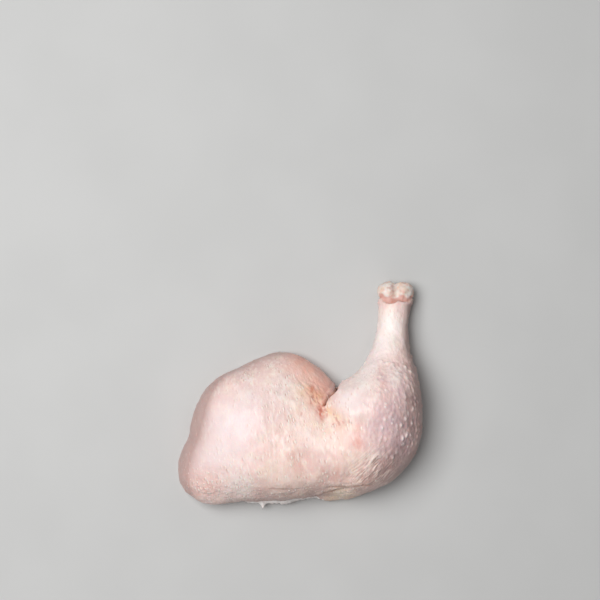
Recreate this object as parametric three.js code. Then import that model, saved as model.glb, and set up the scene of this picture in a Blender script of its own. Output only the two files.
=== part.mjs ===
// Raw chicken leg quarter, skin on: thigh and drumstick in one piece, bent at the knee, lying on its cut side.
// Millimetres, +Z up. +X runs from the hip end of the thigh to the knee, +Y from the knee to the hock.
import * as THREE from "three";

// Driving sizes.
const CELL = 2.62; // spacing of the surface's points
const REACH = { low: [-80, -75, -24], high: [84, 84, 60] }; // the space that the leg lies in

// The thigh is a sum of rounded masses. Each has its centre, its half sizes along, across and up, the turn of
// its long side in plan, in degrees, and the width over which it flows into what is already there.
const THIGH = [
  { at: [-17, -18, 9], half: [40, 34, 29.5], turn: 8, flow: 0 }, // the broad middle
  { at: [-30, -11.5, 9], half: [25.5, 26, 22], turn: 8, flow: 15 }, // hip end, above
  { at: [-48, -39, 8], half: [18.5, 19.5, 18], turn: 0, flow: 16 }, // hip end, below
  { at: [-8, -34, 10], half: [44, 20, 25], turn: 0, flow: 14 }, // along the femur
  { at: [16, -24, 11], half: [28, 20, 25], turn: 0, flow: 16 }, // towards the knee
  { at: [-1.5, 1, 5], half: [26, 17.5, 15], turn: -56, flow: 18 }, // flank skin and meat beside the crook
];
const FOLDS = [
  { at: [35, -38, 9], half: [16, 9.5, 13], turn: 38, flow: 10 }, // skin gathered under the knee
  { at: [24.5, -48.8, 4], half: [20, 8, 9.5], turn: 10, flow: 2.5 }, // its tuck along the femur
  { at: [-56.9, -39.5, 5], half: [11.3, 15.5, 9.5], turn: 0, flow: 2 }, // skin tucked under at the hip end
];

// The drumstick's sections, from the knee to the hock: where its two sides and its top are.
const DRUMSTICK = [
  { y: -13, left: 12, right: 67, top: 43.5 },
  { y: -4, left: 13.5, right: 66.9, top: 44.5 },
  { y: 5, left: 18.8, right: 66.3, top: 42.5 },
  { y: 12, left: 27.8, right: 65.2, top: 37.5 },
  { y: 18, left: 34.2, right: 63.4, top: 31.5 },
  { y: 25, left: 38.6, right: 61.6, top: 25.5 },
  { y: 33, left: 41.8, right: 60.2, top: 21 },
  { y: 42, left: 43.6, right: 60.4, top: 18.4 },
  { y: 53, left: 44.2, right: 62, top: 17.6 },
];
const KNEE_LENGTH = 33; // from the first section round to the front of the knee
const SKIN_END = 4; // how far the skin rounds over past the last section
const SINK = 0.12; // share of the drumstick's height that flattens on the table
const KNUCKLES = [
  { at: [49.2, 59.5, 8.6], r: 7 },
  { at: [57.6, 59, 8.6], r: 7.2 },
]; // the bare end of the shin bone
const KNUCKLE_FLOW = 4; // how softly the knuckles meet
const SHANK_FLOW = 2; // and the skin ends on them
const CROOK = [14, -4]; // where thigh and drumstick meet in a fold
const CROOK_FLOW = 3.2; // how softly they meet there
const KNEE_FLOW = 20; // and at the knee
const KNEE_REACH = 34; // distance over which the fold opens out
const CROOK_LENGTH = 10; // how far the sharp part of the fold runs towards the flank

// The cut side: bare meat inside the rim of skin, in long muscles beside the thigh bone.
const REST_ROUND = 3; // rounding where the flesh settles on the table
const MEAT = { at: [-22.5, -18], half: [38.5, 30], turn: -5, depth: 4.2, edge: 0.36 };
const MUSCLES = [
  { at: [-17, -37.5], half: [33, 10.5], turn: 5, drop: 3.4 },
  { at: [-12, -20], half: [33, 10], turn: -5, drop: 3.8 },
  { at: [-17, -2.5], half: [27, 10.5], turn: -15, drop: 3.2 },
  { at: [-46, -2.5], half: [12, 8], turn: 40, drop: 2.4 },
  { at: [-49, -19], half: [8.5, 8], turn: 0, drop: 4.2 }, // head of the thigh bone
];
const GROOVE = { from: [15, -7], to: [37, -38], wide: 13, depth: 2 }; // between thigh and drumstick, underneath

// Finish of the surface.
const RELAX = { steps: 4, share: 0.5, pulls: 2, least: 0.2 };
const PROBE = 0.2; // distance over which the surface's slope is read
const FLAT = 0.02; // what lies nearer the table than this lies on it

const smooth = (t) => {
  const c = Math.min(1, Math.max(0, t));
  return c * c * (3 - 2 * c);
};

// The nearer of two distances, rounded where they meet.
function join(a, b, flow) {
  if (flow <= 0) return Math.min(a, b);
  const h = Math.max(flow - Math.abs(a - b), 0) / flow;
  return Math.min(a, b) - (h * h * flow) / 4;
}

// Distance to an ellipsoid, given the offset from its centre and its half sizes.
function ovalAt(p, half) {
  const near = Math.hypot(...p.map((v, i) => v / half[i]));
  const steep = Math.hypot(...p.map((v, i) => v / half[i] ** 2));
  return steep < 1e-9 ? -Math.min(...half) : (near * (near - 1)) / steep;
}

// A place in plan, from a centre and along a turned pair of axes.
function turned(at, turn, x, y) {
  const a = THREE.MathUtils.degToRad(turn);
  const [dx, dy] = [x - at[0], y - at[1]];
  return [dx * Math.cos(a) + dy * Math.sin(a), dy * Math.cos(a) - dx * Math.sin(a)];
}

const groove = new THREE.Line3(new THREE.Vector3(...GROOVE.from, 0), new THREE.Vector3(...GROOVE.to, 0));
const massAt = ({ at, half, turn }, x, y, z) => ovalAt([...turned(at, turn, x, y), z - at[2]], half);

const sections = new THREE.CubicInterpolant(
  DRUMSTICK.map((s) => s.y),
  DRUMSTICK.flatMap((s) => [(s.left + s.right) / 2, (s.right - s.left) / 2, s.top]),
  3,
);

function drumstickAt(x, y, z) {
  const [first, last] = [DRUMSTICK[0].y, DRUMSTICK.at(-1).y];
  const [middle, wide, top] = sections.evaluate(Math.min(last, Math.max(first, y)));
  const high = top / (2 - SINK);
  const past = y < first ? (first - y) / KNEE_LENGTH : Math.max(0, y - last) / SKIN_END;
  const end = past * wide;
  return ovalAt([x - middle, z - (top - high), end], [wide, high, wide]);
}

// How far a place in plan is from the middle of an oval, as a share of its half size that way.
function shareOf({ at, half, turn }, x, y) {
  const p = turned(at, turn, x, y);
  return Math.hypot(p[0] / half[0], p[1] / half[1]);
}

// Height of the cut side above the table.
function undersideAt(x, y) {
  const inside = smooth((1 - shareOf(MEAT, x, y)) / MEAT.edge);
  const drop = Math.max(...MUSCLES.map((m) => m.drop * Math.max(0, 1 - shareOf(m, x, y) ** 2)));
  const place = new THREE.Vector3(x, y, 0);
  const off = groove.closestPointToPoint(place, true, new THREE.Vector3()).distanceTo(place);
  return inside * (MEAT.depth - drop) + GROOVE.depth * (1 - smooth(off / GROOVE.wide));
}

function field(x, y, z) {
  let thigh = Infinity;
  for (const m of THIGH) thigh = join(thigh, massAt(m, x, y, z), m.flow);
  const balls = KNUCKLES.map((k) => Math.hypot(x - k.at[0], y - k.at[1], z - k.at[2]) - k.r);
  const knob = join(...balls, KNUCKLE_FLOW);
  const drum = join(drumstickAt(x, y, z), knob, SHANK_FLOW);
  const away = Math.hypot(x - CROOK[0], y - CROOK[1]) / KNEE_REACH;
  const past = y < CROOK[1] ? 1 : smooth(1 - (y - CROOK[1]) / CROOK_LENGTH);
  let leg = join(thigh, drum, CROOK_FLOW + (KNEE_FLOW - CROOK_FLOW) * smooth(away) * past);
  for (const m of FOLDS) leg = join(leg, massAt(m, x, y, z), m.flow);
  return -join(-leg, z - undersideAt(x, y), REST_ROUND);
}

// Lays a closed skin of even triangles over the zero surface of a field.
function skinOver(at, low, high, cell) {
  const n = low.map((v, i) => Math.ceil((high[i] - v) / cell) + 1);
  const index = (i, j, k) => i + n[0] * (j + n[1] * k);
  const value = new Float32Array(n[0] * n[1] * n[2]);
  for (let k = 0; k < n[2]; k += 1)
    for (let j = 0; j < n[1]; j += 1)
      for (let i = 0; i < n[0]; i += 1)
        value[index(i, j, k)] = at(low[0] + i * cell, low[1] + j * cell, low[2] + k * cell);
  const points = [];
  const pointOf = new Map();
  const corners = [0, 1, 2, 3, 4, 5, 6, 7].map((c) => [c & 1, (c >> 1) & 1, (c >> 2) & 1]);
  for (let k = 0; k < n[2] - 1; k += 1)
    for (let j = 0; j < n[1] - 1; j += 1)
      for (let i = 0; i < n[0] - 1; i += 1) {
        const sum = [0, 0, 0];
        let count = 0;
        for (let c = 0; c < 8; c += 1)
          for (const bit of [1, 2, 4]) {
            if (c & bit) continue;
            const [p, q] = [corners[c], corners[c | bit]];
            const u = value[index(i + p[0], j + p[1], k + p[2])];
            const v = value[index(i + q[0], j + q[1], k + q[2])];
            if (u < 0 === v < 0) continue;
            const t = u / (u - v);
            for (const d of [0, 1, 2]) sum[d] += p[d] + (q[d] - p[d]) * t;
            count += 1;
          }
        if (!count) continue;
        pointOf.set(index(i, j, k), points.length);
        const middle = sum.map((v) => v / count);
        points.push(new THREE.Vector3(...[i, j, k].map((v, d) => low[d] + (v + middle[d]) * cell)));
      }
  const triangles = [];
  const step = [1, n[0], n[0] * n[1]];
  for (let k = 1; k < n[2] - 1; k += 1)
    for (let j = 1; j < n[1] - 1; j += 1)
      for (let i = 1; i < n[0] - 1; i += 1)
        for (const d of [0, 1, 2]) {
          const here = index(i, j, k);
          const inside = value[here] < 0;
          if (inside === value[here + step[d]] < 0) continue;
          const [e, f] = [step[(d + 1) % 3], step[(d + 2) % 3]];
          const ring = [here, here - e, here - e - f, here - f].map((c) => pointOf.get(c));
          if (!inside) ring.reverse();
          const [a, b, c, g] = ring;
          const split = points[a].distanceTo(points[c]) < points[b].distanceTo(points[g]);
          triangles.push(...(split ? [a, b, c, a, c, g] : [a, b, g, b, c, g]));
        }
  return { points, triangles };
}

function slope(at, { x, y, z }) {
  return new THREE.Vector3(
    at(x + PROBE, y, z) - at(x - PROBE, y, z),
    at(x, y + PROBE, z) - at(x, y - PROBE, z),
    at(x, y, z + PROBE) - at(x, y, z - PROBE),
  ).divideScalar(2 * PROBE);
}

// Evens out the triangles and pulls each point back onto the surface.
function relax({ points, triangles }, at) {
  const near = points.map(() => new Set());
  for (let t = 0; t < triangles.length; t += 3)
    for (const [a, b] of [[0, 1], [1, 2], [2, 0]]) {
      near[triangles[t + a]].add(triangles[t + b]);
      near[triangles[t + b]].add(triangles[t + a]);
    }
  for (let s = 0; s < RELAX.steps; s += 1) {
    const next = points.map((p, i) => {
      const mean = new THREE.Vector3();
      for (const o of near[i]) mean.add(points[o]);
      return p.clone().lerp(mean.divideScalar(near[i].size), RELAX.share);
    });
    next.forEach((p, i) => {
      for (let r = 0; r < RELAX.pulls; r += 1) {
        const g = slope(at, p);
        p.addScaledVector(g, -at(p.x, p.y, p.z) / Math.max(g.lengthSq(), RELAX.least));
      }
      points[i].copy(p);
    });
  }
}

const skin = skinOver(field, REACH.low, REACH.high, CELL);
relax(skin, field);
for (const p of skin.points) if (Math.abs(p.z) < FLAT) p.z = 0;

const geometry = new THREE.BufferGeometry().setFromPoints(skin.points);
geometry.setIndex(skin.triangles);
geometry.computeBoundingBox();
const box = geometry.boundingBox;
geometry.translate(-(box.min.x + box.max.x) / 2, -(box.min.y + box.max.y) / 2, -box.min.z);
geometry.computeVertexNormals();
const rawSkin = new THREE.MeshStandardMaterial({ color: 0xf0d8cf, roughness: 0.4, metalness: 0 });
const leg = new THREE.Mesh(geometry, rawSkin);
leg.name = "leg_quarter";

const quarter = new THREE.Group();
quarter.add(leg);
export default quarter;
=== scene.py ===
import bmesh
import bpy
import math
from types import SimpleNamespace

import numpy as np
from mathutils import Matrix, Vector, noise
from mathutils.kdtree import KDTree


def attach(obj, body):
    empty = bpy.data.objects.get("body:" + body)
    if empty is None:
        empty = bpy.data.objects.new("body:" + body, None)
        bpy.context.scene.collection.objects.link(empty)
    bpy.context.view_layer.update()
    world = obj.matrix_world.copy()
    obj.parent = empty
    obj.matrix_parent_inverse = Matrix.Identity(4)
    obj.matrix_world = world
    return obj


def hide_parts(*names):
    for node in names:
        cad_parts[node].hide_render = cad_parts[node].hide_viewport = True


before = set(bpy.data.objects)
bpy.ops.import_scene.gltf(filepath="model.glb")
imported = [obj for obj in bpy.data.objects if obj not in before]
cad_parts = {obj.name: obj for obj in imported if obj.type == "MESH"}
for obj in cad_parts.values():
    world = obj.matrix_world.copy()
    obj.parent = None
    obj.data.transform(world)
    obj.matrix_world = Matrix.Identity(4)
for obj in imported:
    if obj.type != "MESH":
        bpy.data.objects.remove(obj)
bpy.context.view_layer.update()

# Millimetres and degrees. Places are measured from the point on the table under the part's middle.
MM = 0.001

# The camera looks straight down.
CAMERA_PLACE = (0.65, 51.15, 799)
CAMERA_LENS = 85
CAMERA_SENSOR = 36
CAMERA_NEAR = 10

# The room, in metres and watts. The floor lies a little below the part, by a gap in millimetres.
FLOOR_REACH = 12
FLOOR_GAP = 0.15
LIGHTS = {
    "key": {"place": (-0.38, 0.2, 1.0), "size": 0.7, "power": 12.2},
    "front fill": {"place": (-0.2, -0.75, 0.65), "size": 0.8, "power": 1.2},
    "back fill": {"place": (0.55, 0.6, 0.75), "size": 0.8, "power": 1.2},
}
ROOM_LIGHT = 0.05

# The skin's mesh: the solid is welded, rounded, divided into even cells and settled.
WELD = 0.001
ROUNDING = 2
VOXEL = 0.65
SETTLE_FACTOR = 0.5
SETTLE_STEPS = 6

# The drumstick lies past the fold and the valley that meet in the crook. Over a pair, a share goes 0 to 1.
CROOK = (13.2, -7.2)
ACROSS_FOLD = (0.81, -0.58)
ACROSS_VALLEY = (0.53, 0.84)
DRUMSTICK_EDGE = (-0.5, 1)
SHANK = {"x": (24, 28), "y": (9, 13)}

# The drumstick's outer side, by pairs in X and Y, and the stretch of Y in which its goose bumps grow fewer.
OUTER_SIDE = {"x": (33, 46), "y": (-42, -28), "fewer": (14, 26), "loss": 0.6}

# What counts as the top, the upper side and the flanks, by how far the skin faces up, from -1 to 1.
TOP_UP = (-0.35, 0.1)
OVER_UP = (-0.9, -0.3)
FLANK_UP = (0.55, 0.1)

# The thigh's lower left corner and the roll of skin under the knee: plan place and radius.
LOBE = ((-52, -52), 13)
ROLL = ((27, -58), 8)

# Creases, in plan. A step lifts the skin beside the crease, on the left of its line, or sinks it below 0.
# The last number of each darkens it with painted shadow.
CREASES = {
    "crook fold": {
        "line": [(26, 11), (20, 1.5), (15.8, -3.6), CROOK],
        "depth": 2.6, "wide": 0.8, "fade": (0, 0.15), "step": 1.4, "painted_shadow": 1,
    },
    "knee valley": {
        "line": [CROOK, (18.5, -9.2), (24.6, -13.6), (30, -18)],
        "depth": 0.4, "wide": 1.6, "fade": (0, 0.8), "step": 0.45, "painted_shadow": 0,
    },
    "knee hem": {
        "line": [(9, -51.4), (17, -50), (25.7, -49.4), (34, -49.3), (43, -48.4)],
        "depth": 0.25, "wide": 1.1, "fade": (0.4, 0.2), "step": 0.6, "painted_shadow": 0.45,
    },
    "tucked roll": {
        "line": [(29, -50.6), (24.3, -51.6), (20.3, -53), (16, -54.8), (12, -56.6), (8.7, -58.4)],
        "depth": 0.9, "wide": 0.9, "fade": (0.4, 0), "step": -0.6, "painted_shadow": 0.6,
    },
    "low ledge": {
        "line": [(-20, -50.6), (-9, -50.9), (-1, -50.8), (4, -51.6)],
        "depth": 0.2, "wide": 1.2, "fade": (0.4, 0.3), "step": 0.5, "painted_shadow": 0.3,
    },
}
CREASE_WAVER = 0.6
CREASE_WAVER_SIZE = 5
CREASE_PAST = 0.01  # how far past its end a crease reaches, so that it is full there without a fade

# A crease's raised lips and the bank beside it, in shares of its depth and of its width.
LIP_HEIGHT = 0.16
LIP_AWAY = 2.3
LIP_WIDE = 1.2
BANK_EDGE = (-0.3, 0.5)
BANK_WIDE = 4

# Hollows between the flesh's masses, which close up into folds and are darkened with painted shade.
HOLLOW_STEPS = 20
HOLLOW_SEEN = (0.25, 1.1)
HOLLOW_UP = (-0.9, -0.4)
HOLLOW_DEPTH = 1.3
HOLLOW_SHADE = 0.8

# Dents in the flesh, by plan place, radius and depth, and its broad lumps, by size, height and noise shift.
DENTS = [((17, -43.5), 5, 0.9), ((28, -40), 3.5, 0.5), ((1, -36), 6, 0.5), ((-62, -25), 5, 1.3)]
FLESH_LUMPS = [(16, 0.6, 1.7), (7, 0.45, 9.2)]

# The bare end of the shin bone: where the skin and the sinew end along Y, and how far those ends wander.
HOCK_FROM_X = 25
HOCK_SKIN_END = 50.5
HOCK_SKIN_WANDER = [(5, 2.6, 5.5)]  # size, height and noise shift, as in every such list below
HOCK_SKIN_SOFT = 0.4
HOCK_ROLL = {"back": 1, "wide": 0.9, "high": 0.5}
HOCK_DEPTH = 0.9
SINEW_END = 53.2
SINEW_WANDER = [(3.5, 2.6, 1.1)]
SINEW_SOFT = 0.8
SINEW_DEPTH = 0.5
KNUCKLE_LUMPS = [(4, 0.5, 7.3), (1.8, 0.3, 0.9)]
KNUCKLE_GROOVE = {"line": [(54.2, 50), (54, 57), (54.1, 64)], "depth": 1.3, "wide": 1.7, "fade": (0.3, 0)}

# The cut side: an oval of bare meat with a ragged edge, its seams and fibres, and the thigh bone's head.
MEAT = {"at": (-21.85, -21.85), "half": (40.5, 31), "turn": -5}
MEAT_EDGE = [(14, 0.22, 3.1), (6, 0.12, 8.4), (2.5, 0.03, 5.4)]
MEAT_EDGE_SOFT = 0.02
MEAT_UP = (-0.2, -0.6)
MEAT_HEIGHT = (8, 5)
MEAT_DEPTH = 1
FAT_RIM = (0.8, 1)
SEAMS = [
    [(-40, -34), (-20, -33), (-2, -30.5), (15, -27)],
    [(-41, -17), (-24, -14), (-6, -14.5), (14, -20)],
    [(-56, -12), (-45, -11), (-36, -4), (-33, 6)],
    [(-38, -24), (-40, -34), (-48, -40), (-56, -42)],
]
SEAM_SHAPE = {"depth": 1.1, "wide": 1.0, "fade": (0.1, 0.1)}
FIBRES = [((7, 1.5, 1.5), 0.35, 5.1)]
BONE_HEAD = {"at": (-48.35, -22.85), "radius": 7.5, "uneven": [(6, 0.12, 6.3)], "soft": 0.05, "high": 0.5}
SOCKET = {"at": 1.12, "wide": 0.12, "deep": 0.9}  # in bone radii, with its depth in millimetres

# Loose crumpled skin beside the crook: plan place, radius, strength, and the angle and size of its crests.
CRUMPLES = [
    ((6, 4), 7, 0.55, -60, 2.6),
    ((11, -4), 4.5, 1.5, -65, 1.7),
    ((15, -10), 5, 1.1, -80, 1.6),
    ((21, -13), 4.5, 0.8, -50, 1.6),
    ((5, 14), 9, 0.2, -66, 3.4),
    ((2, -8), 9, 0.4, -95, 2.2),
]
CRUMPLE_HEIGHT = 0.35
CRUMPLE_WAVER = 1.6
CRUMPLE_WAVER_SIZE = 5
CRUMPLE_LOSS = 0.75  # on the drumstick
CREST_RISE = 0.5
CREST_SLOPE = 2.4
CREST_ROUND = 0.05
CREST_LONG = 3

# Fine ridges run down the leg, except round these places: plan place, radius and angle.
RIDGE_ANGLE = 98
RIDGE_TURNS = [
    ((40, -39), 12, 50),
    ((4, 9), 12, 116),
    ((-12, -56), 8, 3),
    ((6, -57), 8, 4),
    ((26, -53), 8, 8),
]
RIDGE_HEIGHT = 0.085
RIDGE_SIZES = [(1.25, 4, 0.65, 6.6), (2.4, 6, 0.45, 3.6)]  # width, length, share and noise shift
RIDGE_WAVER = 1.3
RIDGE_WAVER_SIZE = 8
RIDGE_STEEP = 0.12  # above this, the noise rises twice as fast
LUMP_TALL = 1.6  # how tall drawn-out lumps are for their width

# How rough the skin is: its mean and limits, its patches, what smooths it, and where ridges stand higher.
ROUGH_MEAN = 0.8
ROUGH_LIMITS = (0.08, 1.3)
ROUGH_PATCHES = [(12, 0.8, 2.9)]
SMOOTHED = {"cool": 0.8, "outer": 0.3}
RAISED = {"rough": 2, "outer": 0.8}
ROUGH = [
    ((41, -37), 10, 1.5), ((30, -44), 7, 0.8), ((26, -54), 9, 1), ((6, -56), 9, 0.8),
    ((-12, -57), 9, 0.6), ((8, 2), 9, 0.8),
]

# Where the skin is gathered in fine strands, at the knee: plan place, radius and strength.
GATHERS = [((41, -38), 9, 1), ((33, -44), 6, 0.8), ((47, -44), 5, 0.7)]
GATHER_ANGLE = 48
GATHER_SIZE = (7, 0.95, 2)  # along the strands, across them, and in height
GATHER_RELIEF = 3

# Feather follicles: goose bumps on the drumstick's outer side, and slanting nicks on the rest of the skin.
FOLLICLE_SPACING = 2.9
FOLLICLE_SLANT = 101
FOLLICLE_SWAY = 22
BUMP_HALF = (0.95, 0.64)  # along the slant and across it
BUMP_HEIGHT = 0.95
BUMP_SIZES = (0.6, 1.15)
BUMP_LEAST = 0.05
BUMP_RARITY = 2.5  # the higher, the fewer large ones
BUMP_DRAWN = {"x": (44, 58), "share": 0.3}  # how much longer they are at the far right
BUMP_PATCHES = [(9, 0.5, 3.3)]
BUMPINESS = {"anywhere": 0.03, "outer": 0.95, "lobe": 0.4, "flank": 0.3}
BUMP_LOSS = 0.7  # in the folds
# How strongly the bump tips are lit up with painted highlights.
BUMP_TIP_HIGHLIGHTS = 1.1
# How the troughs between the bumps are darkened with painted shade.
BUMP_TROUGH_SHADE = {"level": 0.2, "tangle": 0.8}
PIMPLES_LEAST = 0.25
TANGLE_HEIGHT = 0.3
TANGLE_SIZES = [(1.2, 2.2, 1, 9.9), (2.6, 6, 0.5, 2.2)]  # width, length, share and noise shift
GRANULES = [(1.35, 0.35, 4.4)]
NICKED = {"up": (0.1, 0.6), "least": 0.3, "flap loss": 0.8}
NICK_SPACING = (2.2, 4.7, 3.0)  # across the slant, along it, and in height
# How far each nick's lip lies to one side of it; the lip is lit up with a painted highlight.
NICK_LIP = 0.6
# Grit specks on the granular skin: raised granules whose colour is painted glints.
GRIT_SPACING = (2.1, 2.1, 2.1)
# Small goose bumps, which get painted highlights in the colour.
PIMPLE_SPACING = (2.8, 3.8, 2.8)
SPECK_EDGE = (0.32, 0.12)  # a speck's rim and its full middle, in spacings
SEED = 11

# Painted shade on the skin, by how far it faces up or aside, by height and by X, and what is spared from it.
SHADE_DOWN = {"up": (0.85, 0.15), "height": (36, 12), "least": 0.4, "share": 0.88}
SHADE_ASIDE = {"aside": (0.3, 0.75), "up": (0.8, 0.3), "share": 0.8}
SHADE_LEFT = {"aside": (0.45, 0.85), "x": (-40, -54), "share": 0.9, "lobe loss": 0.5}
SHADE_INSIDE = (0.1, 0.5)
SHADE_SEEN = (-0.7, 0.3)
SHADE_SPARES = {"pale": 0.85, "lobe": 0.9, "roll": 0.9, "inside": 0.9, "flap": 0.95}

# The membrane that hangs from under the thigh's lower edge. A wave is its length, height and noise shift.
MEMBRANE_SPAN = (-34, 18)
MEMBRANE_GRID = (150, 5)
MEMBRANE_BAND = -48  # in Y, the skin that it hangs from lies below this
MEMBRANE_NEAR = (1.5, 1)  # in X and in height, how near that skin is
MEMBRANE_LEVEL = 8.5
MEMBRANE_SWAY = (15, 3, 5.2)
MEMBRANE_RAGS = [(9, 0.35, 3.3), (2, 0.2, 7.1)]
MEMBRANE_RAGS_MEAN = 0.45
MEMBRANE_RAGS_LEAST = 0.15
MEMBRANE_TAPER = (0.15, 0.5)
MEMBRANE_TUCK = 1.5
MEMBRANE_LEAST = 1.4
MEMBRANE_REACH = 6.2
MEMBRANE_DROOP = 5
MEMBRANE_RIPPLE = (2.1, 0.5, 1.2)
MEMBRANE_THICK = 0.25
MEMBRANE_DRIP = {"at": -20, "half": 1.1, "share": 0.5}

# Where the skin's colour or grain differs: plan place, radius and strength.
FAT = [
    ((18, -20), 9, 0.5), ((28, -36), 10, 0.5), ((9, -14), 8, 0.6), ((24, -57), 7, 1),
    ((-2, -48), 15, 0.5), ((-16, -41), 6, 0.6), ((2, -3), 7, 0.6),
]
GOLD = [
    ((16.5, -9), 2.5, 0.8), ((20.5, -12), 2.5, 0.55), ((25, -16), 3, 0.3),
    ((10, -2), 4, 0.5), ((3, 2), 5, 0.4), ((18, -58), 5, 0.6),
]
FLAP = [((6, 15), 8, 1), ((14, 6), 7, 0.9), ((0, 20), 8, 0.7), ((10, -1), 5, 0.6)]
FLUSH = [
    ((31.7, -17), 3.5, 0.5), ((31, -25), 4.5, 0.55), ((12.1, -8), 3, 1), ((11.5, -10.5), 3, 1),
    ((13.8, -7.2), 2, 1), ((9.6, -2.4), 4, 0.9), ((12, 11), 4.5, 0.3), ((6.8, 2.4), 2.6, 1),
    ((4, 22), 7, 0.6), ((16, 2), 4, 0.5), ((-50, -54), 7, 0.3), ((17, -42), 6, 0.35),
    ((0, -36), 8, 0.4), ((44.6, 13), 2.2, 0.35), ((45.5, 6), 2.2, 0.4),
]
# Paler skin; in places it is painted light, on the drumstick's left side, the roll and the thigh's lower
# edge.
PALE_AND_LIT = [
    ((36, 14), 9, 0.8), ((46, 28), 9, 1), ((50, 38), 9, 1), ((34, 6), 6, 0.65),
    ((51, 9), 5, 0.8), ((40, 0), 5, 0.15), ((27, -1), 7, 0.7), ((31, -9), 5, 0.3),
    ((39, -32), 5, 0.3), ((8, -24), 8, 0.35), ((-2, -16), 12, 0.25), ((-10, 3), 11, 0.5),
    ((-5, -42), 14, 0.3), ((-32, -51), 9, 0.9), ((-49, -57), 7, 0.9), ((22.5, -56), 6, 0.9),
]
# Lavender on the drumstick: partly its own tint, partly painted shade on its lower right side.
LAVENDER_AND_SHADE = [
    ((50, -12), 9, 0.85), ((53, -27), 13, 0.9), ((55, 1), 6, 0.6), ((42, -18), 8, 0.7),
    ((45.3, 8), 3, 0.6), ((44, -4), 5, 0.4), ((36, -4), 4, 0.25),
]
# Patches of painted shade: on the drumstick's far right, below the knee, beside the crook fold and along the
# lower edge.
SHADE_PATCHES = [
    ((50, -37), 9, 0.9), ((56, -28), 7, 0.6), ((44, -42), 6, 0.7), ((38, -46), 5, 0.6),
    ((61, -16), 6, 0.9), ((62, -3), 6, 1), ((15.5, -1.5), 2.5, 0.7), ((18, 3), 2.5, 0.5),
    ((12, -36), 6, 0.2), ((22, -45), 5, 0.35), ((36, -53), 4, 0.5), ((32, -51), 3, 0.6),
    ((24, -51.3), 3, 0.8), ((17, -51.5), 3.5, 0.7), ((8, -53), 5, 0.8), ((-8, -54), 7, 0.5),
    ((-20, -53), 6, 0.4),
]
# Cool whitish skin; the large patch on the thigh's left is also the painted broad highlight.
COOL_AND_LIT = [
    ((-37, -17), 15, 1), ((-28, -2), 9, 0.6), ((-40, -32), 10, 0.6), ((-50, -35), 9, 0.8),
    ((-57, -43), 6, 0.5), ((28, -4), 7, 0.6), ((38, 22), 8, 0.6),
]
GRANULAR = [
    ((28, -57), 8, 0.9), ((12, -55), 7, 0.8), ((-4, -56), 8, 0.8), ((-22, -56), 9, 0.8),
    ((-36, -55), 8, 0.8), ((30, -45), 7, 0.5),
]
GRANULAR_MOST = 0.9

# Screen colours, 0 to 255.
TONES = {
    "skin": (243, 211, 204),
    "rosy skin": (238, 205, 200),
    "cream": (246, 222, 208),
    "blush": (233, 195, 186),
    # Ridge crests and troughs: partly the skin's own pale streaks, partly painted light and shade on the
    # ridges.
    "ridge crest": (252, 236, 227),
    "ridge trough": (224, 190, 180),
    # Partly the skin's own paler tone, partly painted light.
    "pale": (254, 244, 239),
    # Partly a cool whitish skin tone, partly the painted broad highlight on the thigh.
    "cool": (238, 226, 228),
    # Partly the drumstick's own lavender tint, partly painted shade.
    "lavender": (212, 182, 187),
    # Painted shade in patches.
    "dusk": (166, 134, 131),
    "fat": (246, 222, 200),
    "flap": (255, 198, 178),
    "flush": (218, 136, 120),
    "gold": (243, 208, 152),
    # Painted light on the crumples' crests and painted shade in their troughs.
    "lit crumple crest": (252, 228, 210),
    "shaded crumple trough": (196, 118, 100),
    # Painted shade on the flanks.
    "shade": (182, 150, 144),
    # A fold's own orange-brown, and painted shadow deep in it.
    "fold": (194, 124, 88),
    "deep fold shadow": (96, 52, 36),
    "granular": (206, 164, 152),
    # Painted shade between the gathered strands and painted light on their crests.
    "gather trough": (188, 146, 134),
    "gather crest": (255, 236, 222),
    "roll": (252, 226, 198),
    "lobe": (242, 196, 188),
    "nick": (202, 150, 136),
    # Painted highlight on each nick's lip.
    "lit nick lip": (255, 245, 236),
    # Painted shade between the goose bumps.
    "bump trough shade": (200, 160, 166),
    # Painted highlight on the bump tips and small goose bumps.
    "bump": (254, 241, 237),
    # Painted glints on the grit.
    "glinting_grit": (255, 244, 236),
    "meat": (198, 112, 106),
    "light meat": (224, 152, 138),
    "marbled meat": (230, 176, 160),
    "seam": (236, 196, 178),
    "fat rim": (242, 220, 186),
    "socket": (160, 64, 58),
    "bone": (226, 216, 214),
    "rosy bone": (214, 168, 158),
    "gristle": (232, 220, 212),
    "warm gristle": (228, 200, 182),
    "rosy gristle": (214, 158, 146),
    "sinew": (206, 140, 126),
    "membrane": (250, 239, 235),
    "bright membrane": (255, 251, 248),
    "floor": (196, 196, 195),
    "light floor": (199, 199, 198),
}

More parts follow.
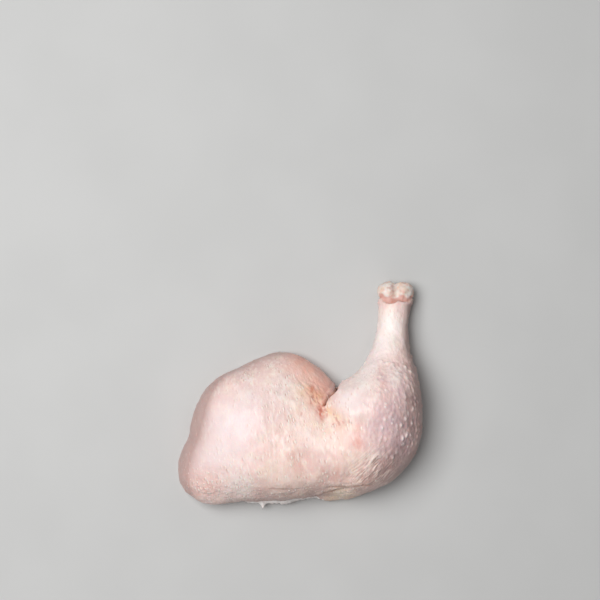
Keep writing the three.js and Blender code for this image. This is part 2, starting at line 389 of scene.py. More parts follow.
# Blotches: their size, the noise at which they start and are full, and their shares at those two.
BLOTCHES = {
    "skin": {"size": 14, "full": (0.35, 0.65), "detail": 3},
    "cream": {"size": 7, "full": (0.48, 0.66), "share": (0, 0.7), "detail": 4, "shift": (0.3, 0, 0)},
    "blush": {
        "size": 5, "full": (0.5, 0.66), "share": (0, 0.6),
        "stretch": (1, 1.4, 1.2), "detail": 5, "shift": (0.1, 0, 0.2),
    },
    "lavender": {"size": 4, "full": (0.3, 0.65), "share": (0.35, 0.95), "detail": 3, "shift": (0, 0.2, 0)},
    "dusk": {"size": 2.5, "full": (0.3, 0.65), "share": (0.65, 1), "detail": 3, "shift": (0.4, 0.2, 0)},
    "fat": {"size": 2.2, "full": (0.4, 0.7), "share": (0.4, 0.9), "stretch": (1, 3, 1.5)},
    "flap": {
        "size": 3, "full": (0.3, 0.65), "share": (0.6, 1),
        "stretch": (1, 1.8, 1), "detail": 3, "shift": (0.6, 0, 0.4),
    },
    "flush": {
        "size": 3.4, "full": (0.35, 0.62), "share": (0.25, 1),
        "stretch": (1, 2, 1), "detail": 3, "shift": (0, 0, 0.4),
    },
    "roll": {"size": 2.2, "full": (0.4, 0.6), "share": (0, 0.8), "detail": 3, "shift": (0.3, 0.3, 0)},
    "nick": {"size": 8, "full": (0.38, 0.6), "share": (0.15, 1), "shift": (0.7, 0, 0.1)},
    "glinting_grit": {"size": 4, "full": (0.38, 0.58), "share": (0.15, 1), "detail": 3, "shift": (0.8, 0.1, 0.5)},
    "pimple": {"size": 4, "full": (0.4, 0.6), "share": (0.15, 1), "shift": (0.2, 0.6, 0)},
    "meat": {"size": 1.1, "full": (0.35, 0.7), "stretch": (9, 1, 1), "detail": 3},
    "marbled meat": {"size": 9, "full": (0.45, 0.7), "share": (0, 0.7), "detail": 3, "shift": (0.2, 0, 0)},
    "film": {"size": 2.4, "full": (0.46, 0.62), "stretch": (2.5, 1, 1), "detail": 4, "shift": (0.1, 0.2, 0)},
    "bone": {"size": 5, "full": (0.4, 0.7), "detail": 3},
    "gristle": {"size": 5, "full": (0.4, 0.65), "detail": 4},
    "rosy gristle": {"size": 3, "full": (0.5, 0.68), "share": (0, 0.6), "detail": 4, "shift": (0.5, 0, 0)},
    "membrane": {"size": 2, "full": (0.35, 0.7), "detail": 3},
    "floor": {"size": 60, "full": (0.3, 0.7)},
    "roughness": {"size": 3.5, "full": (0.3, 0.7), "share": (0.48, 0.62), "detail": 3},
}

# The fine relief on the skin and on the membrane.
PORES = {"size": 0.75, "stretch": (1, 2.4, 1.2), "detail": 3}
RIPPLES = {"size": 0.8, "detail": 3}
RELIEF_HEIGHT = 0.3


def smoothstep(low, high, value):
    """0 up to low and 1 from high on, with an even ease between; low may be the larger."""
    t = np.clip((value - low) / (high - low), 0, 1)
    return t * t * (3 - 2 * t)


def grain(points, size, shift=0.0):
    """Soft noise from -1 to 1, whose lumps are about size across; size may differ along X, Y and Z."""
    scaled = points / np.broadcast_to(size, 3) + shift
    return np.array([noise.noise(Vector(p)) for p in scaled])


def unevenness(points, layers):
    """The sum of several grains, from the size, height and shift of each."""
    return sum(height * grain(points, size, shift) for size, height, shift in layers)


def wander(points, size, shifts):
    """How soft noise carries each point off, from -1 to 1, with one axis for each shift."""
    return np.stack([grain(points, size, shift) for shift in shifts], axis=1)


def drawn_out(points, angle, wide, long, shift):
    """Noise whose lumps are drawn out along an angle in plan, from -1 to 1."""
    turn = math.radians(angle)
    along = points[:, 0] * math.cos(turn) + points[:, 1] * math.sin(turn)
    across = points[:, 1] * math.cos(turn) - points[:, 0] * math.sin(turn)
    return grain(np.c_[across, along, points[:, 2]], (wide, long, LUMP_TALL * wide), shift)


def streaks(points, angle, wide, long, shift):
    """Drawn-out noise with sharper crests, on a slowly wavering course."""
    waver = RIDGE_WAVER * grain(points, RIDGE_WAVER_SIZE, shift)[:, None] * (1, 0, 0)
    lumps = drawn_out(points + waver, angle, wide, long, shift)
    return 2 * lumps + 2 * np.maximum(lumps - RIDGE_STEEP, 0)


def line_distance(plan, line):
    """How far each plan point is from a bent line, negative on its right, and how far along it, 0 to 1."""
    line = np.array(line, float)
    lengths = np.linalg.norm(np.diff(line, axis=0), axis=1)
    start = np.concatenate([[0], np.cumsum(lengths)])
    best = np.full(len(plan), np.inf)
    side = np.ones(len(plan))
    along = np.zeros(len(plan))
    for i, (a, b) in enumerate(zip(line, line[1:])):
        run = b - a
        off = plan - a
        t = np.clip((off @ run) / lengths[i] ** 2, 0, 1)
        far = np.linalg.norm(off - t[:, None] * run, axis=1)
        nearer = far < best
        best[nearer] = far[nearer]
        side[nearer] = np.sign(run[0] * off[:, 1] - run[1] * off[:, 0])[nearer]
        along[nearer] = (start[i] + t[nearer] * lengths[i]) / start[-1]
    return best * side, along


def spot(plan, at, radius):
    """1 at a place, falling off softly over radius."""
    return np.exp(-np.sum((plan - np.array(at)) ** 2, axis=1) / radius**2)


def patches(plan, places):
    """How strongly each plan point lies in a set of soft patches, 0 to 1."""
    clear = np.ones(len(plan))
    for at, radius, strength in places:
        clear *= 1 - strength * spot(plan, at, radius)
    return 1 - clear


def oval_share(plan, at, half, turn):
    """How far out each plan point is in an oval: 1 on its edge."""
    angle = math.radians(turn)
    off = plan - np.array(at)
    along = off[:, 0] * math.cos(angle) + off[:, 1] * math.sin(angle)
    across = off[:, 1] * math.cos(angle) - off[:, 0] * math.sin(angle)
    return np.hypot(along / half[0], across / half[1])


class Clay:
    """A mesh whose points are moved along their normals."""

    def __init__(self, mesh):
        self.mesh = mesh
        self.points = np.zeros(len(mesh.vertices) * 3)
        mesh.vertices.foreach_get("co", self.points)
        self.points = self.points.reshape(-1, 3) / MM
        self.edges = np.zeros(len(mesh.edges) * 2, int)
        mesh.edges.foreach_get("vertices", self.edges)
        self.edges = self.edges.reshape(-1, 2)
        self.waver = CREASE_WAVER * wander(self.points, CREASE_WAVER_SIZE, (2.2, 7.7))
        self.read_normals()

    @property
    def plan(self):
        return self.points[:, :2]

    def read_normals(self):
        normals = np.zeros(len(self.mesh.vertices) * 3)
        self.mesh.vertex_normals.foreach_get("vector", normals)
        self.normals = normals.reshape(-1, 3)

    def move(self, height):
        """Raises each point by its height, or sinks it where that is negative, but not below the table."""
        self.points += self.normals * height[:, None]
        self.points[:, 2] = np.maximum(self.points[:, 2], 0)
        self.mesh.vertices.foreach_set("co", (self.points * MM).ravel())
        self.mesh.update()
        self.read_normals()

    def hollowness(self, steps):
        """How deep each point lies below the mean of the surface round it; steps widen that surface."""
        a, b = self.edges.T
        count = len(self.points)
        degree = np.bincount(self.edges.ravel(), minlength=count)
        mean = self.points.copy()
        for _ in range(steps):
            around = [np.bincount(a, m[b], count) + np.bincount(b, m[a], count) for m in mean.T]
            mean = (mean + np.stack(around, axis=1) / degree[:, None]) / 2
        return np.sum((mean - self.points) * self.normals, axis=1)

    def crease(self, line, depth, wide, fade, step=0, painted_shadow=0, where=1):
        """Sinks a line, raises the skin beside it, and returns how deep in it each point lies, 0 to 1."""
        off, along = line_distance(self.plan + self.waver, line)
        off = off / wide
        ends = smoothstep(-CREASE_PAST, fade[0], along) * where
        ends = ends * smoothstep(1 + CREASE_PAST, 1 - fade[1], along)
        valley = np.exp(-(off**2)) * ends
        lip = np.exp(-(((np.abs(off) - LIP_AWAY) / LIP_WIDE) ** 2)) * ends
        bank = smoothstep(*BANK_EDGE, off) * np.exp(-((off / BANK_WIDE) ** 2)) * ends
        self.move(LIP_HEIGHT * depth * lip - depth * valley + step * bank)
        return valley

    def paint(self, masks):
        """Stores the masks on the mesh, three to a colour attribute."""
        names = list(masks)
        for n in range(0, len(names), 3):
            values = np.ones((len(self.points), 4))
            values[:, :3] = np.stack([masks[name] for name in names[n : n + 3]], axis=1)
            layer = self.mesh.color_attributes.new(f"masks_{n // 3}", "FLOAT_COLOR", "POINT")
            layer.data.foreach_set("color", values.ravel())


def leg_form():
    """The leg's solid as one welded mesh, finely and evenly divided."""
    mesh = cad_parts["leg_quarter"].data.copy()
    mesh.materials.clear()
    bm = bmesh.new()
    bm.from_mesh(mesh)
    bmesh.ops.remove_doubles(bm, verts=bm.verts, dist=WELD * MM)
    bm.to_mesh(mesh)
    bm.free()
    form = bpy.data.objects.new("form", mesh)
    bpy.context.scene.collection.objects.link(form)
    rounded = form.modifiers.new("rounded", "SUBSURF")
    rounded.levels = rounded.render_levels = ROUNDING
    even = form.modifiers.new("even", "REMESH")
    even.mode = "VOXEL"
    even.voxel_size = VOXEL * MM
    settled = form.modifiers.new("settled", "SMOOTH")
    settled.factor = SETTLE_FACTOR
    settled.iterations = SETTLE_STEPS
    depsgraph = bpy.context.evaluated_depsgraph_get()
    fine = bpy.data.meshes.new_from_object(form.evaluated_get(depsgraph), depsgraph=depsgraph)
    bpy.data.objects.remove(form)
    return fine


def survey(clay):
    """Where each point lies before it is sculpted, how far it faces right and up, and its region."""
    leg = SimpleNamespace(plan=clay.plan.copy(), height=clay.points[:, 2].copy())
    leg.right, _, leg.up = clay.normals.T.copy()
    x, y = leg.plan.T
    leg.top = smoothstep(*TOP_UP, leg.up)
    leg.over = smoothstep(*OVER_UP, leg.up)
    from_crook = leg.plan - np.array(CROOK)
    past_fold = smoothstep(*DRUMSTICK_EDGE, from_crook @ ACROSS_FOLD)
    past_valley = smoothstep(*DRUMSTICK_EDGE, from_crook @ ACROSS_VALLEY)
    shank = smoothstep(*SHANK["x"], x) * smoothstep(*SHANK["y"], y)
    leg.drumstick = np.maximum(past_fold * past_valley, shank)
    leg.outer = smoothstep(*OUTER_SIDE["x"], x) * smoothstep(*OUTER_SIDE["y"], y)
    leg.outer *= 1 - OUTER_SIDE["loss"] * smoothstep(*OUTER_SIDE["fewer"], y)
    leg.lobe = spot(leg.plan, *LOBE)

    out = oval_share(leg.plan, **MEAT) + unevenness(clay.points, MEAT_EDGE)
    leg.meat = smoothstep(1 + MEAT_EDGE_SOFT, 1 - MEAT_EDGE_SOFT, out)
    leg.meat *= smoothstep(*MEAT_UP, leg.up) * smoothstep(*MEAT_HEIGHT, leg.height)
    leg.fat_rim = smoothstep(*FAT_RIM, out) * leg.meat
    along = y + unevenness(clay.points, HOCK_SKIN_WANDER)
    leg.hock = smoothstep(HOCK_SKIN_END - HOCK_SKIN_SOFT, HOCK_SKIN_END + HOCK_SKIN_SOFT, along)
    leg.hock *= x > HOCK_FROM_X
    leg.skin = (1 - leg.meat) * (1 - leg.hock)
    return leg


def sculpt_flesh(clay, leg):
    """Closes the hollows between the leg's masses into folds, and makes the flesh uneven."""
    leg.hollow = smoothstep(*HOLLOW_SEEN, clay.hollowness(HOLLOW_STEPS)) * leg.skin
    leg.hollow *= smoothstep(*HOLLOW_UP, leg.up)
    clay.move(-HOLLOW_DEPTH * leg.hollow)
    dents = sum(depth * spot(leg.plan, at, radius) for at, radius, depth in DENTS) * leg.top
    clay.move(leg.skin * (unevenness(clay.points, FLESH_LUMPS) - dents))


def sculpt_hock(clay, leg):
    """Lets the skin stand proud of the meat and of the bare bone, and shapes the sinew and the knuckles."""
    along = (clay.points[:, 1] - HOCK_SKIN_END + HOCK_ROLL["back"]) / HOCK_ROLL["wide"]
    roll = np.exp(-(along**2)) * leg.skin * (leg.plan[:, 0] > HOCK_FROM_X)
    clay.move(HOCK_ROLL["high"] * roll - MEAT_DEPTH * leg.meat - HOCK_DEPTH * leg.hock)
    clay.crease(**KNUCKLE_GROOVE, where=leg.hock)
    along = clay.points[:, 1] + unevenness(clay.points, SINEW_WANDER)
    leg.sinew = leg.hock * smoothstep(SINEW_END + SINEW_SOFT, SINEW_END - SINEW_SOFT, along)
    clay.move(leg.hock * unevenness(clay.points, KNUCKLE_LUMPS) - SINEW_DEPTH * leg.sinew)


def sculpt_cut_side(clay, leg):
    """Muscles with seams between them, coarse fibres, and the head of the thigh bone in its socket."""
    leg.seam = np.zeros(len(leg.plan))
    for line in SEAMS:
        leg.seam = np.maximum(leg.seam, clay.crease(line, **SEAM_SHAPE, where=leg.meat))
    off_bone = np.linalg.norm(leg.plan - np.array(BONE_HEAD["at"]), axis=1) / BONE_HEAD["radius"]
    off_bone += unevenness(clay.points, BONE_HEAD["uneven"])
    leg.bone = smoothstep(1 + BONE_HEAD["soft"], 1 - BONE_HEAD["soft"], off_bone) * leg.meat
    leg.socket = np.exp(-(((off_bone - SOCKET["at"]) / SOCKET["wide"]) ** 2)) * leg.meat
    fibres = unevenness(clay.points, FIBRES) * leg.meat * (1 - leg.bone)
    clay.move(fibres - SOCKET["deep"] * leg.socket + BONE_HEAD["high"] * leg.bone)


def sculpt_folds(clay, leg):
    """The creases, the flap beside the crook, and the loose skin that is crumpled there."""
    # The fold mask darkens the hollows and creases with painted shadow.
    leg.fold = HOLLOW_SHADE * leg.hollow * leg.top
    for shape in CREASES.values():
        leg.fold = np.maximum(leg.fold, shape["painted_shadow"] * clay.crease(**shape, where=leg.top))
    leg.flap = patches(leg.plan, FLAP) * leg.skin * (1 - leg.drumstick)

    loose = leg.top * leg.skin * (1 - CRUMPLE_LOSS * leg.drumstick)
    wavering = clay.points + CRUMPLE_WAVER * wander(clay.points, CRUMPLE_WAVER_SIZE, (4.1, 6.8, 1.9))
    leg.crests = np.zeros(len(clay.points))
    for at, radius, strength, angle, size in CRUMPLES:
        lumps = drawn_out(wavering, angle, size, CREST_LONG * size, at[0])
        crests = CREST_RISE - CREST_SLOPE * np.hypot(lumps, CREST_ROUND)
        leg.crests += strength * spot(clay.plan, at, radius) * crests * loose
    clay.move(CRUMPLE_HEIGHT * leg.crests)


def fine_ridges(clay):
    """The skin's fine ridges, about -1 to 1: they run down the leg, and turn at the knee, crook and hem."""
    clear = np.ones(len(clay.points))
    ridges = np.zeros(len(clay.points))
    for at, radius, angle in [*RIDGE_TURNS, (None, None, RIDGE_ANGLE)]:
        here = clear * spot(clay.plan, at, radius) if at else clear
        clear = clear - here
        for wide, long, share, shift in RIDGE_SIZES:
            ridges += here * share * streaks(clay.points, angle, wide, long, shift)
    return ridges


def sculpt_grain(clay, leg):
    """Fine ridges, lowest where the skin is smooth, and granules on the thigh's corner and lower edge."""
    smooth = SMOOTHED["cool"] * patches(leg.plan, COOL_AND_LIT) + SMOOTHED["outer"] * leg.outer
    rough = (ROUGH_MEAN + unevenness(clay.points, ROUGH_PATCHES)) * (1 - smooth)
    leg.rough = np.clip(rough, *ROUGH_LIMITS) * leg.skin
    leg.ridges = fine_ridges(clay)
    raised = RAISED["rough"] * patches(leg.plan, ROUGH) * leg.top * leg.skin + RAISED["outer"] * leg.outer
    clay.move(RIDGE_HEIGHT * leg.ridges * (leg.rough + raised))
    leg.granular = np.maximum(leg.lobe, GRANULAR_MOST * patches(leg.plan, GRANULAR)) * leg.skin
    clay.move(unevenness(clay.points, GRANULES) * leg.granular)


def follicle_places(points, rng):
    """Points picked at random on the leg, none nearer to another than the follicles' spacing."""
    taken = {}
    chosen = []
    around = [(x, y, z) for x in (-1, 0, 1) for y in (-1, 0, 1) for z in (-1, 0, 1)]
    for point in points[rng.permutation(len(points))[: len(points) // 2]]:
        cell = np.floor(point / FOLLICLE_SPACING).astype(int)
        near = [p for step in around for p in taken.get(tuple(cell + step), ())]
        if all(np.sum((point - p) ** 2) > FOLLICLE_SPACING**2 for p in near):
            taken.setdefault(tuple(cell), []).append(point)
            chosen.append(point)
    return np.array(chosen)


def follicles(points, rng):
    """How far each point is from its nearest follicle, along and across the slant, and that one's size."""
    places = follicle_places(points, rng)
    tree = KDTree(len(places))
    for n, place in enumerate(places):
        tree.insert(place, n)
    tree.balance()
    nearest = np.array([tree.find(p)[1] for p in points])
    size = rng.uniform(0, 1, len(places))[nearest]
    sway = rng.uniform(-FOLLICLE_SWAY, FOLLICLE_SWAY, len(places))
    slant = np.radians(FOLLICLE_SLANT + sway)[nearest]
    off = points - places[nearest]
    along = off[:, 0] * np.cos(slant) + off[:, 1] * np.sin(slant)
    across = np.sqrt(np.maximum(np.sum(off**2, axis=1) - along**2, 0))
    return along, across, size


def sculpt_goose_bumps(clay, leg, rng):
    """Goose bumps over a tangle of short ridges, most on the drumstick's outer side, then on the corner."""
    along, across, size = follicles(clay.points, rng)
    patchy = unevenness(clay.points, BUMP_PATCHES)
    flank = smoothstep(*FLANK_UP, leg.up)
    bumpy = np.full(len(clay.points), BUMPINESS["anywhere"])
    for region, where in (("outer", leg.outer), ("lobe", leg.lobe), ("flank", flank)):
        bumpy += (BUMPINESS[region] + patchy) * where
    bumpy = np.clip(bumpy, 0, 1) * leg.skin * (1 - BUMP_LOSS * leg.fold)
    least, most = BUMP_SIZES
    wide = least + (most - least) * size
    long = wide * (1 + BUMP_DRAWN["share"] * smoothstep(*BUMP_DRAWN["x"], leg.plan[:, 0]))
    bump = np.exp(-((along / (BUMP_HALF[0] * long)) ** 2) - (across / (BUMP_HALF[1] * wide)) ** 2)
    bump *= BUMP_LEAST + (1 - BUMP_LEAST) * size**BUMP_RARITY
    tangle = np.zeros(len(clay.points))
    for width, length, share, shift in TANGLE_SIZES:
        tangle += share * drawn_out(clay.points, FOLLICLE_SLANT, width, length, shift)
    clay.move(bumpy * (BUMP_HEIGHT * bump + TANGLE_HEIGHT * tangle) * leg.over)
    # Painted highlights on the bumps' tips.
    leg.tips = np.clip(BUMP_TIP_HIGHLIGHTS * bumpy * bump, 0, 1) * leg.over
    # Painted shade in the troughs between the bumps.
    low = BUMP_TROUGH_SHADE["level"] - bump - BUMP_TROUGH_SHADE["tangle"] * tangle
    leg.troughs = np.clip(bumpy * leg.outer * low, 0, 1)
    leg.pimply = bumpy * leg.over * np.maximum(leg.outer, PIMPLES_LEAST)


def painted_skin_shade(leg, pale, roll):
    """How much painted shade darkens the skin: most where it turns down or aside, least where it is pale or
    in the crook.
    """
    down, aside, left, spares = SHADE_DOWN, SHADE_ASIDE, SHADE_LEFT, SHADE_SPARES
    low = np.maximum(smoothstep(*down["height"], leg.height), down["least"])
    shade = down["share"] * smoothstep(*down["up"], leg.up) * low
    inside = leg.drumstick * smoothstep(*SHADE_INSIDE, -leg.right)
    for region, where in (("pale", pale), ("lobe", leg.lobe), ("roll", roll), ("inside", inside)):
        shade *= 1 - spares[region] * where
    turned = np.maximum(leg.right, -leg.right * (1 - leg.drumstick))
    shade += aside["share"] * smoothstep(*aside["aside"], turned) * smoothstep(*aside["up"], leg.up)
    leftmost = smoothstep(*left["aside"], -leg.right) * smoothstep(*left["x"], leg.plan[:, 0])
    shade += left["share"] * leftmost * (1 - left["lobe loss"] * leg.lobe)
    seen = smoothstep(*SHADE_SEEN, leg.up) * leg.skin * (1 - spares["flap"] * leg.flap)
    return np.clip(shade, 0, 1) * seen


def skin_masks(leg):
    """What the leg's material reads at each point, 0 to 1."""
    pale = patches(leg.plan, PALE_AND_LIT) * leg.skin
    roll = spot(leg.plan, *ROLL)
    nicked = np.clip(leg.rough * (1 - leg.outer), 0, 1) * (1 - NICKED["flap loss"] * leg.flap)
    nicked *= NICKED["least"] + (1 - NICKED["least"]) * smoothstep(*NICKED["up"], leg.up)
    return {
        "meat": leg.meat,
        "hock": leg.hock,
        "sinew": leg.sinew,
        "seam": leg.seam,
        "fat_rim": leg.fat_rim,
        "bone": leg.bone,
        "socket": leg.socket,
        "fold": leg.fold,
        "crests": np.clip(0.5 + leg.crests, 0, 1),
        "ridges": np.clip(0.5 + 0.5 * leg.ridges * leg.rough, 0, 1),
        "tips": leg.tips,
        "troughs": leg.troughs,
        "pimply": leg.pimply,
        "nicked": nicked,
        "granular": leg.granular,
        "gathered": patches(leg.plan, GATHERS) * leg.top * leg.skin,
        "lobe": leg.lobe * leg.skin,
        "roll": roll * leg.skin,
        "flap": leg.flap,
        "flush": patches(leg.plan, FLUSH) * leg.skin,
        "fat": patches(leg.plan, FAT) * leg.skin,
        "gold": patches(leg.plan, GOLD) * leg.skin,
        "pale": pale,
        "cool": patches(leg.plan, COOL_AND_LIT) * leg.skin,
        "lavender": patches(leg.plan, LAVENDER_AND_SHADE) * leg.skin,
        "dusk": patches(leg.plan, SHADE_PATCHES) * leg.skin,
        "shade": painted_skin_shade(leg, pale, roll),
    }


def sculpt_leg():
    """The leg's mesh with its folds, wrinkles and goose bumps, its points, and the names of its masks."""
    clay = Clay(leg_form())
    leg = survey(clay)
    sculpt_flesh(clay, leg)
    sculpt_hock(clay, leg)
    sculpt_cut_side(clay, leg)
    sculpt_folds(clay, leg)
    sculpt_grain(clay, leg)
    sculpt_goose_bumps(clay, leg, np.random.default_rng(SEED))
    masks = skin_masks(leg)
    clay.paint(masks)
    return clay.mesh, clay.points, list(masks)


def membrane_strip(leg_points):
    """A ragged strip of thin membrane that hangs out from under the thigh's lower edge."""
    low = leg_points[(leg_points[:, 1] < MEMBRANE_BAND) & (leg_points[:, 2] < 2 * MEMBRANE_LEVEL)]
    columns, rows = MEMBRANE_GRID
    start, end = MEMBRANE_SPAN
    near_x, near_height = MEMBRANE_NEAR
    drip = MEMBRANE_DRIP

    def wave(x, length, height, shift, out=0):
        return height * noise.noise(Vector((x / length, out, shift)))

    bm = bmesh.new()
    bmesh.ops.create_grid(bm, x_segments=columns, y_segments=rows, size=0.5)
    for vert in bm.verts:
        share, out = vert.co.x + 0.5, 0.5 - vert.co.y
        x = start + share * (end - start)
        level = MEMBRANE_LEVEL + wave(x, *MEMBRANE_SWAY)
        near = (np.abs(low[:, 0] - x) < near_x) & (np.abs(low[:, 2] - level) < near_height)
        edge = low[near, 1].min()
        ragged = MEMBRANE_RAGS_MEAN + sum(wave(x, *rag) for rag in MEMBRANE_RAGS)
        dripping = drip["share"] * math.exp(-(((x - drip["at"]) / drip["half"]) ** 2))
        tapered = smoothstep(0, MEMBRANE_TAPER[0], share) * smoothstep(1, MEMBRANE_TAPER[1], share)
        hem = (max(ragged, MEMBRANE_RAGS_LEAST) + dripping) * float(tapered)
        reach = MEMBRANE_LEAST + MEMBRANE_REACH * hem
        sag = MEMBRANE_DROOP * out**2 * ragged - wave(x, *MEMBRANE_RIPPLE, out)
        vert.co = (x, edge + MEMBRANE_TUCK - out * reach, level - sag)
    bmesh.ops.scale(bm, verts=bm.verts, vec=(MM, MM, MM))
    bmesh.ops.solidify(bm, geom=bm.faces, thickness=MEMBRANE_THICK * MM)
    bmesh.ops.recalc_face_normals(bm, faces=bm.faces)
    mesh = bpy.data.meshes.new("membrane")
    bm.to_mesh(mesh)
    bm.free()
    return mesh


def tone(name):
    """A named screen colour as the linear colour that a shader takes."""
    shares = [c / 255 for c in TONES[name]]
    return tuple(c / 12.92 if c <= 0.04045 else ((c + 0.055) / 1.055) ** 2.4 for c in shares) + (1,)


class Shader:
    """Builds one material's nodes."""

    def __init__(self, name):
        self.material = bpy.data.materials.new(name)
        self.material.use_nodes = True
        self.tree = self.material.node_tree
        self.tree.nodes.clear()
        self.place = self.add("ShaderNodeTexCoord").outputs["Object"]

    def add(self, kind, settings=(), **inputs):
        """Adds a node; an input is named by its socket, or by i and its number."""
        node = self.tree.nodes.new(kind)
        for key, value in dict(settings).items():
            setattr(node, key, value)
        for key, value in inputs.items():
            self.feed(node.inputs[int(key[1:]) if key[1:].isdigit() else key.replace("_", " ")], value)
        return node

    def feed(self, socket, value):
        if isinstance(value, bpy.types.NodeSocket):
            self.tree.links.new(value, socket)
        else:
            socket.default_value = value

    def masks(self, names):
        """The masks that are painted on the mesh, by name."""
        sockets = []
        for n in range(0, len(names), 3):
            node = self.add("ShaderNodeAttribute", {"attribute_name": f"masks_{n // 3}"})
            sockets += self.add("ShaderNodeSeparateColor", i0=node.outputs["Color"]).outputs[:3]
        return SimpleNamespace(**dict(zip(names, sockets)))

    def math(self, operation, a, b):
        return self.add("ShaderNodeMath", {"operation": operation}, i0=a, i1=b).outputs[0]

    def times(self, a, b):
        return self.math("MULTIPLY", a, b)

    def total(self, parts):
        """The sum of several values, each with its weight."""
        so_far = 0.0
        for value, weight in parts:
            node = self.add("ShaderNodeMath", {"operation": "MULTIPLY_ADD"}, i0=value, i1=weight, i2=so_far)
            so_far = node.outputs[0]
        return so_far

    def mix(self, share, a, b):
        return self.add("ShaderNodeMix", {"data_type": "RGBA"}, i0=share, i6=a, i7=b).outputs[2]

    def coat(self, colour, coats):
        """Lays tones over a colour, one after another, each by its share."""
        for share, name in coats:
            colour = self.mix(share, colour, tone(name))
        return colour

    def ramp(self, value, low, high, start=0.0, end=1.0):
        """Eases from start, where the value is low, to end, where it is high."""
        settings = {"interpolation_type": "SMOOTHSTEP"}
        node = self.add("ShaderNodeMapRange", settings, i0=value, i1=low, i2=high, i3=start, i4=end)
        return node.outputs[0]

    def noise(self, size, stretch=(1, 1, 1), detail=2, shift=(0, 0, 0)):
        """Noise whose lumps are about size across."""
        mapped = self.add("ShaderNodeMapping", i0=self.place, i1=shift, i3=tuple(1 / s for s in stretch))
        node = self.add("ShaderNodeTexNoise", Vector=mapped.outputs[0], Scale=1 / (size * MM), Detail=detail)
        return node.outputs[0]

    def blotches(self, name):
        """How strong a kind of blotches is from place to place."""
        settings = dict(BLOTCHES[name])
        full, share = settings.pop("full"), settings.pop("share", (0, 1))
        return self.ramp(self.noise(**settings), *full, *share)

    def blotched(self, first, second):
        """Two tones, with the second in blotches that have the first one's name."""
        return self.mix(self.blotches(first), tone(first), tone(second))

    def turned(self, size, turn, shift=0):
        """Places measured in sizes along axes that are turned in plan, and shifted along the first one."""
        angle = math.radians(turn)
        start = (shift * math.cos(angle) * MM, shift * math.sin(angle) * MM, 0)
        scale = tuple(v * MM for v in size)
        settings = {"vector_type": "TEXTURE"}
        node = self.add("ShaderNodeMapping", settings, i0=self.place, i1=start, i2=(0, 0, angle), i3=scale)
        return node.outputs[0]

    def strands(self, size, turn):
        """Noise in strands that run at an angle in plan."""
        return self.add("ShaderNodeTexNoise", Vector=self.turned(size, turn), Scale=1, Detail=1).outputs[0]

    def specks(self, spacing, turn=0, shift=0):
        """1 at scattered places and 0 away from them."""
        node = self.add("ShaderNodeTexVoronoi", Vector=self.turned(spacing, turn, shift), Scale=1)
        return self.ramp(node.outputs["Distance"], *SPECK_EDGE)

    def bump(self, height, strength):
        """Relief that is too fine for the mesh."""
        node = self.add("ShaderNodeBump", Strength=strength, Distance=RELIEF_HEIGHT * MM, Height=height)
        return node.outputs[0]

    def surface(self, **inputs):
        """Ends the material with its surface."""
        principled = self.add("ShaderNodeBsdfPrincipled", **inputs)
        self.add("ShaderNodeOutputMaterial", Surface=principled.outputs[0])
        return self.material


def fine_marks(shader, mask):
    """Slanting nicks and the lip beside each, grit where the skin is granular, and small goose bumps; in the
    colour the lips, grit and goose bumps are lit up with painted highlights.
    """
    times, specks, blotches = shader.times, shader.specks, shader.blotches
    turn = FOLLICLE_SLANT - 90
    return SimpleNamespace(
        nick=times(times(mask.nicked, blotches("nick")), specks(NICK_SPACING, turn)),
        lip=times(mask.nicked, specks(NICK_SPACING, turn, NICK_LIP)),
        glinting_grit=times(times(mask.granular, blotches("glinting_grit")), specks(GRIT_SPACING)),
        pimple=times(times(mask.pimply, blotches("pimple")), specks(PIMPLE_SPACING, turn)),
    )


